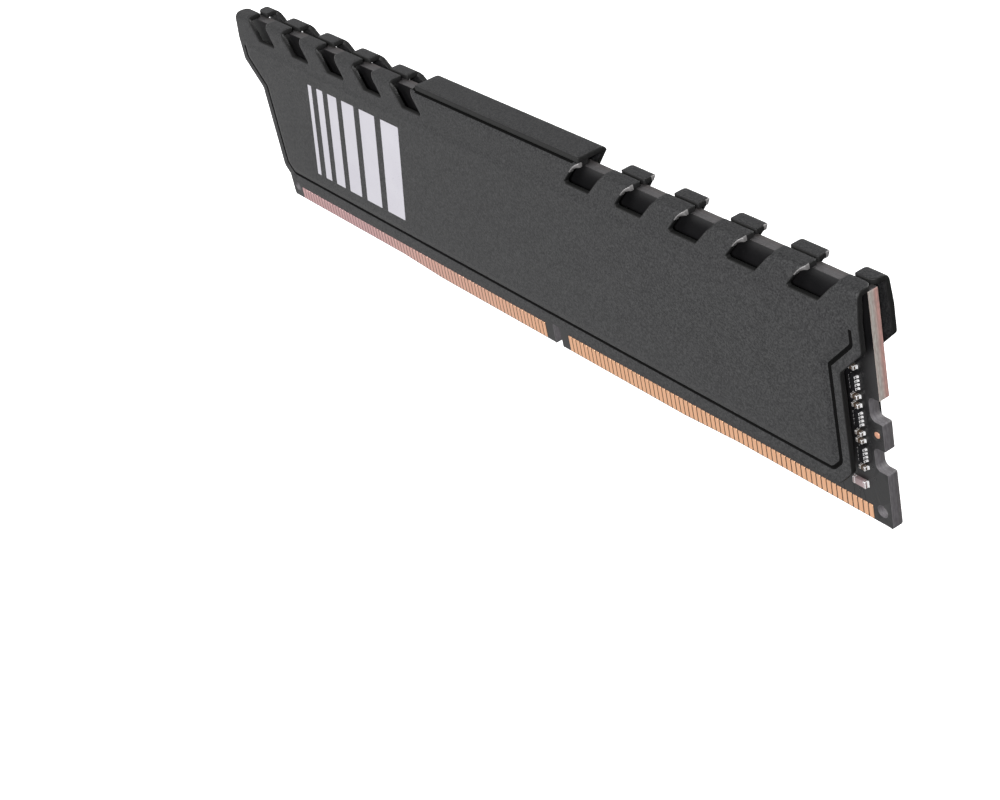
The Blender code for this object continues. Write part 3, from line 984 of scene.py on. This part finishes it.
def corners_mm(node):
    low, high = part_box(node)
    return [v / MM for v in low], [v / MM for v in high]


def y_range(low, high, side):
    """From the board face out to the node's far face."""
    return (HALF_THICK - SEAT, high[1]) if side > 0 else (low[1], -HALF_THICK + SEAT)


def make_capacitor(node, side, slot="capacitor", body=CERAMIC):
    """A two-ended chip part lying along X: body, metal caps and their solder."""
    low, high = corners_mm(node)
    y0, y1 = y_range(low, high, side)
    board, top = (y0, y1) if side > 0 else (y1, y0)
    inset = 0.02  # the body is this much smaller than its caps
    face = top - side * inset
    cap = 0.30 * (high[0] - low[0]) if slot == "capacitor" else 0.38
    bm = bmesh.new()
    body_low = (low[0] + inset, min(board, face), low[2] + inset)
    body_high = (high[0] - inset, max(board, face), high[2] - inset)
    block(bm, body_low, body_high, 0.04, PLAIN)
    half = (high[2] - low[2]) / 2 - inset
    z = (low[2] + high[2]) / 2
    solder_top = board + (top - board) * 0.7
    for x0, x1, end in ((low[0], low[0] + cap, -1), (high[0] - cap, high[0], 1)):
        block(bm, (x0, y0, low[2]), (x1, y1, high[2]), 0.07, TERMINAL, 3)
        outer = low[0] if end < 0 else high[0]
        wedge = bmesh.new()
        fillet(wedge, -half, half, end * -0.05, end * 0.17, board, solder_top, TERMINAL)
        quarter_turn(wedge)
        bmesh.ops.translate(wedge, verts=wedge.verts[:], vec=(outer, 0, z))
        part = bpy.data.meshes.new("wedge")
        wedge.to_mesh(part)
        wedge.free()
        bm.from_mesh(part)
        bpy.data.meshes.remove(part)
    outward_normals(bm)
    return add_piece(node + "_body", bm, [body, SOLDER], [node], 40)


def make_array(node, side, upright=False):
    """A chip resistor array: glazed body with four terminals along each long side."""
    low, high = corners_mm(node)
    y0, y1 = y_range(low, high, side)
    board, top = (y0, y1) if side > 0 else (y1, y0)
    along = 2 if upright else 0
    middle = [(a + b) / 2 for a, b in zip(low, high)]
    half_long = (high[along] - low[along]) / 2
    half_short = (high[2 - along] - low[2 - along]) / 2
    wrap = 0.42 if upright else 0.24  # how far a terminal reaches over the body
    foot = half_short + (0.14 if upright else 0.22)  # and its solder beyond it
    terminals = 4
    pitch = 2 * half_long / terminals
    half = pitch * 0.30
    reach = board + (top - board) * 0.6
    bm = bmesh.new()
    block(bm, (-half_long, y0, 0.12 - half_short), (half_long, y1, half_short - 0.12), 0.04, PLAIN)
    for k in range(terminals):
        x = pitch * (k + 0.5) - half_long
        x0, x1 = x - half * 0.9, x + half * 0.9
        for end in (-1, 1):
            near, far = sorted((end * (half_short - wrap), end * (half_short - 0.03)))
            block(bm, (x - half, y0, near), (x + half, y1, far), 0.05, TERMINAL)
            fillet(bm, x0, x1, end * (half_short - 0.04), end * foot, board, reach, TERMINAL)
    if upright:
        quarter_turn(bm)
    bmesh.ops.translate(bm, verts=bm.verts[:], vec=(middle[0], 0, middle[2]))
    outward_normals(bm)
    return add_piece(node + "_body", bm, [RESISTOR, SOLDER], [node], 40)


def make_chip(node, side):
    """A ball-grid memory package: moulded top over a thin substrate, on its solder balls."""
    low, high = corners_mm(node)
    board_side, far_side = (low[1], high[1]) if side > 0 else (high[1], low[1])
    step = board_side + (far_side - board_side) * 0.28
    inset, overlap = 0.02, 0.01  # of the moulding, against the substrate
    bm = bmesh.new()
    base_low = (low[0], min(board_side, step), low[2])
    base_high = (high[0], max(board_side, step), high[2])
    block(bm, base_low, base_high, 0.03, CHIP_SUBSTRATE, 1)
    y_low = min(step, far_side) - (overlap if side > 0 else 0)
    y_high = max(step, far_side) + (overlap if side < 0 else 0)
    top_low = (low[0] + inset, y_low, low[2] + inset)
    top_high = (high[0] - inset, y_high, high[2] - inset)
    block(bm, top_low, top_high, 0.05, PLAIN)
    ball_y = (board_side + side * HALF_THICK) / 2
    for x in np.arange(low[0] + 0.75, high[0] - 0.6, 1.2):
        for z in np.arange(low[2] + 0.7, high[2] - 0.6, 1.2):
            made = bmesh.ops.create_icosphere(bm, subdivisions=1, radius=0.17)["verts"]
            bmesh.ops.translate(bm, vec=(x, ball_y, z), verts=made)
            for face in {f for v in made for f in v.link_faces}:
                face.material_index = CHIP_BALL
    outward_normals(bm)
    looks = [MOULDING, SUBSTRATE, SOLDER]
    return add_piece(node + "_package", bm, looks, [node], 40)


def make_spd(node):
    """The small leadless configuration chip, with four pads along each long side."""
    low, high = corners_mm(node)
    bm = bmesh.new()
    body_high = (high[0], -HALF_THICK - 0.02, high[2] - 0.05)
    block(bm, (low[0], low[1], low[2] + 0.05), body_high, 0.05, PLAIN)
    pads, pad_half, pad_length = 4, 0.12, 0.35
    y_far, y_board = -HALF_THICK - 0.16, -HALF_THICK + SEAT
    for k in range(pads):
        x = low[0] + (high[0] - low[0]) * (k + 0.5) / pads
        for z_a, z_b in ((low[2], low[2] + pad_length), (high[2] - pad_length, high[2])):
            corner_low, corner_high = (x - pad_half, y_far, z_a), (x + pad_half, y_board, z_b)
            block(bm, corner_low, corner_high, 0.02, TERMINAL, 1)
    outward_normals(bm)
    return add_piece(node + "_package", bm, [MOULDING, SOLDER], [node], 40)


# ---- printed stripes -------------------------------------------------------


def make_emblem():
    """A plain row of slanted stripes, each narrower than the one to its right."""
    bm = bmesh.new()
    panel_y = FLANGE_Y + PANEL_RAISE
    top, lean = STRIPE_FOOT + STRIPE_HEIGHT, STRIPE_HEIGHT * STRIPE_LEAN
    for x, width in STRIPES:
        corners = [(x, STRIPE_FOOT), (x + width, STRIPE_FOOT)]
        corners += [(x + width + lean, top), (x + lean, top)]
        outline = rounded([(p, STRIPE_ROUND) for p in corners], 3)
        raised_pad(bm, outline, -(panel_y - SEAT), -(panel_y + INK_THICK), INK_THICK)
    outward_normals(bm)
    return add_piece("front_emblem_print", bm, [INK], (), 30)


# ---- build -----------------------------------------------------------------

make_spreader("front_spreader_shell", "front_heat_spreader", -1, False)
make_spreader("back_spreader_shell", "back_heat_spreader", 1, True)
make_board()
LAST = LEFT_CONTACTS + RIGHT_CONTACTS - 1
for side, word in ((-1, "front"), (1, "back")):
    make_fingers(f"{word}_fingers_left", f"{word}_contacts_left", 0, LEFT_CONTACTS - 1, side)
    make_fingers(f"{word}_fingers_right", f"{word}_contacts_right", LEFT_CONTACTS, LAST, side)
    make_traces(f"{word}_traces", side)
    for i in range(1, 9):
        make_chip(f"{word}_memory_chip_{i}", side)
    bpy.data.objects[f"{word}_thermal_pad"].data.materials.clear()
    bpy.data.objects[f"{word}_thermal_pad"].data.materials.append(PAD)

for i in range(1, 23):
    make_array(f"back_resistor_array_{i:02d}", 1)
for i in (1, 2):
    make_capacitor(f"back_capacitor_{i}", 1)
for i in range(1, 7):
    make_capacitor(f"end_capacitor_{i}", -1)
for i in range(1, 4):
    make_array(f"end_resistor_array_{i}", -1, True)
make_capacitor("end_resistor", -1, "resistor", RESISTOR_FACE)
make_spd("spd_chip")
make_fiducial("board_fiducial", *FIDUCIAL)
make_emblem()
make_vias("front_vias", -1, FRONT_VIAS)
make_vias("back_vias", 1, [(-x, z) for x, z in FRONT_VIAS] + BACK_VIA_ROW)


# ---- floor, light and camera (places here are in metres) -------------------

FLOOR_HALF_SIZE = 3000
FLOOR_BELOW = 0.02  # millimetres under the contact edge
FLOOR_GLOW = 0.90
SKY_BRIGHT_SIDE = (-0.62, -0.68, 0.12)
SKY_SPAN = (-0.6, 0.9)  # cosine from that side, between which the sky brightens
SKY_LOW, SKY_HIGH = 0.06, 0.70
CAMERA_PLACE = Vector((203.19, -117.78, 139.71)) * MM
CAMERA_LOOK = Vector((-0.7451, 0.3986, -0.5348)).normalized()
CAMERA_ROLL = math.radians(-13.05)
CAMERA_ANGLE = math.radians(27.63)
WHITE = (1.0, 1.0, 1.0, 1.0)


def make_floor():
    """A white floor that glows, hidden from rays that would light the module from below."""
    bm = bmesh.new()
    bmesh.ops.create_grid(bm, x_segments=2, y_segments=2, size=FLOOR_HALF_SIZE)
    bmesh.ops.translate(bm, vec=(0, 0, -FLOOR_BELOW), verts=bm.verts[:])
    mesh = bpy.data.meshes.new("floor")
    bm.to_mesh(mesh)
    bm.free()
    mesh.transform(Matrix.Scale(MM, 4))
    look = Look("floor_white", grey(0.86), 0.9)
    cloud = look.noise(400.0, 1.0)
    look.colour(look.mixed(cloud, grey(0.84), grey(0.87)))
    look.shader.inputs["Emission Color"].default_value = WHITE
    look.shader.inputs["Emission Strength"].default_value = FLOOR_GLOW
    mesh.materials.append(look.made)
    floor = bpy.data.objects.new("floor", mesh)
    bpy.context.scene.collection.objects.link(floor)
    floor.visible_diffuse = False
    floor.visible_glossy = False


def make_sky():
    """A soft gradient, brightest to one side."""
    world = bpy.data.worlds.new("studio")
    world.use_nodes = True
    nodes, links = world.node_tree.nodes, world.node_tree.links
    sky = nodes["Background"]
    sky.inputs["Color"].default_value = WHITE
    direction = nodes.new("ShaderNodeTexCoord")
    facing = nodes.new("ShaderNodeVectorMath")
    facing.operation = "DOT_PRODUCT"
    facing.inputs[1].default_value = Vector(SKY_BRIGHT_SIDE).normalized()
    spread = nodes.new("ShaderNodeMapRange")
    spread.interpolation_type = "SMOOTHSTEP"
    spread.inputs["From Min"].default_value = SKY_SPAN[0]
    spread.inputs["From Max"].default_value = SKY_SPAN[1]
    spread.inputs["To Min"].default_value = SKY_LOW
    spread.inputs["To Max"].default_value = SKY_HIGH
    links.new(direction.outputs["Generated"], facing.inputs[0])
    links.new(facing.outputs["Value"], spread.inputs["Value"])
    links.new(spread.outputs["Result"], sky.inputs["Strength"])
    bpy.context.scene.world = world
    bpy.context.scene.view_settings.view_transform = "Standard"


def area_light(name, where, target, size, power):
    """A square light: places and size in metres, power in watts."""
    data = bpy.data.lights.new(name, "AREA")
    data.shape = "SQUARE"
    data.size = size
    data.energy = power
    made = bpy.data.objects.new(name, data)
    made.location = where
    made.rotation_euler = (Vector(target) - Vector(where)).to_track_quat("-Z", "Y").to_euler()
    bpy.context.scene.collection.objects.link(made)


def make_camera():
    data = bpy.data.cameras.new("camera")
    data.sensor_fit = "HORIZONTAL"
    data.sensor_width = 36.0
    data.angle = CAMERA_ANGLE
    data.clip_start = 0.01
    camera = bpy.data.objects.new("camera", data)
    bpy.context.scene.collection.objects.link(camera)
    aimed = CAMERA_LOOK.to_track_quat("-Z", "Y").to_matrix()
    turned = aimed @ Matrix.Rotation(CAMERA_ROLL, 3, "Z")
    camera.matrix_world = Matrix.Translation(CAMERA_PLACE) @ turned.to_4x4()
    bpy.context.scene.camera = camera


make_floor()
make_sky()
area_light("key_light", (-0.02, -0.50, 0.38), (0.0, 0.0, 0.02), size=0.30, power=1.9)
area_light("back_fill", (0.05, 0.55, 0.22), (0.0, 0.0, 0.015), size=0.45, power=5.0)
area_light("sparkle_light", (0.42, -0.34, 0.30), (0.05, 0.0, 0.015), size=0.06, power=3.3)
make_camera()

bpy.context.view_layer.update()
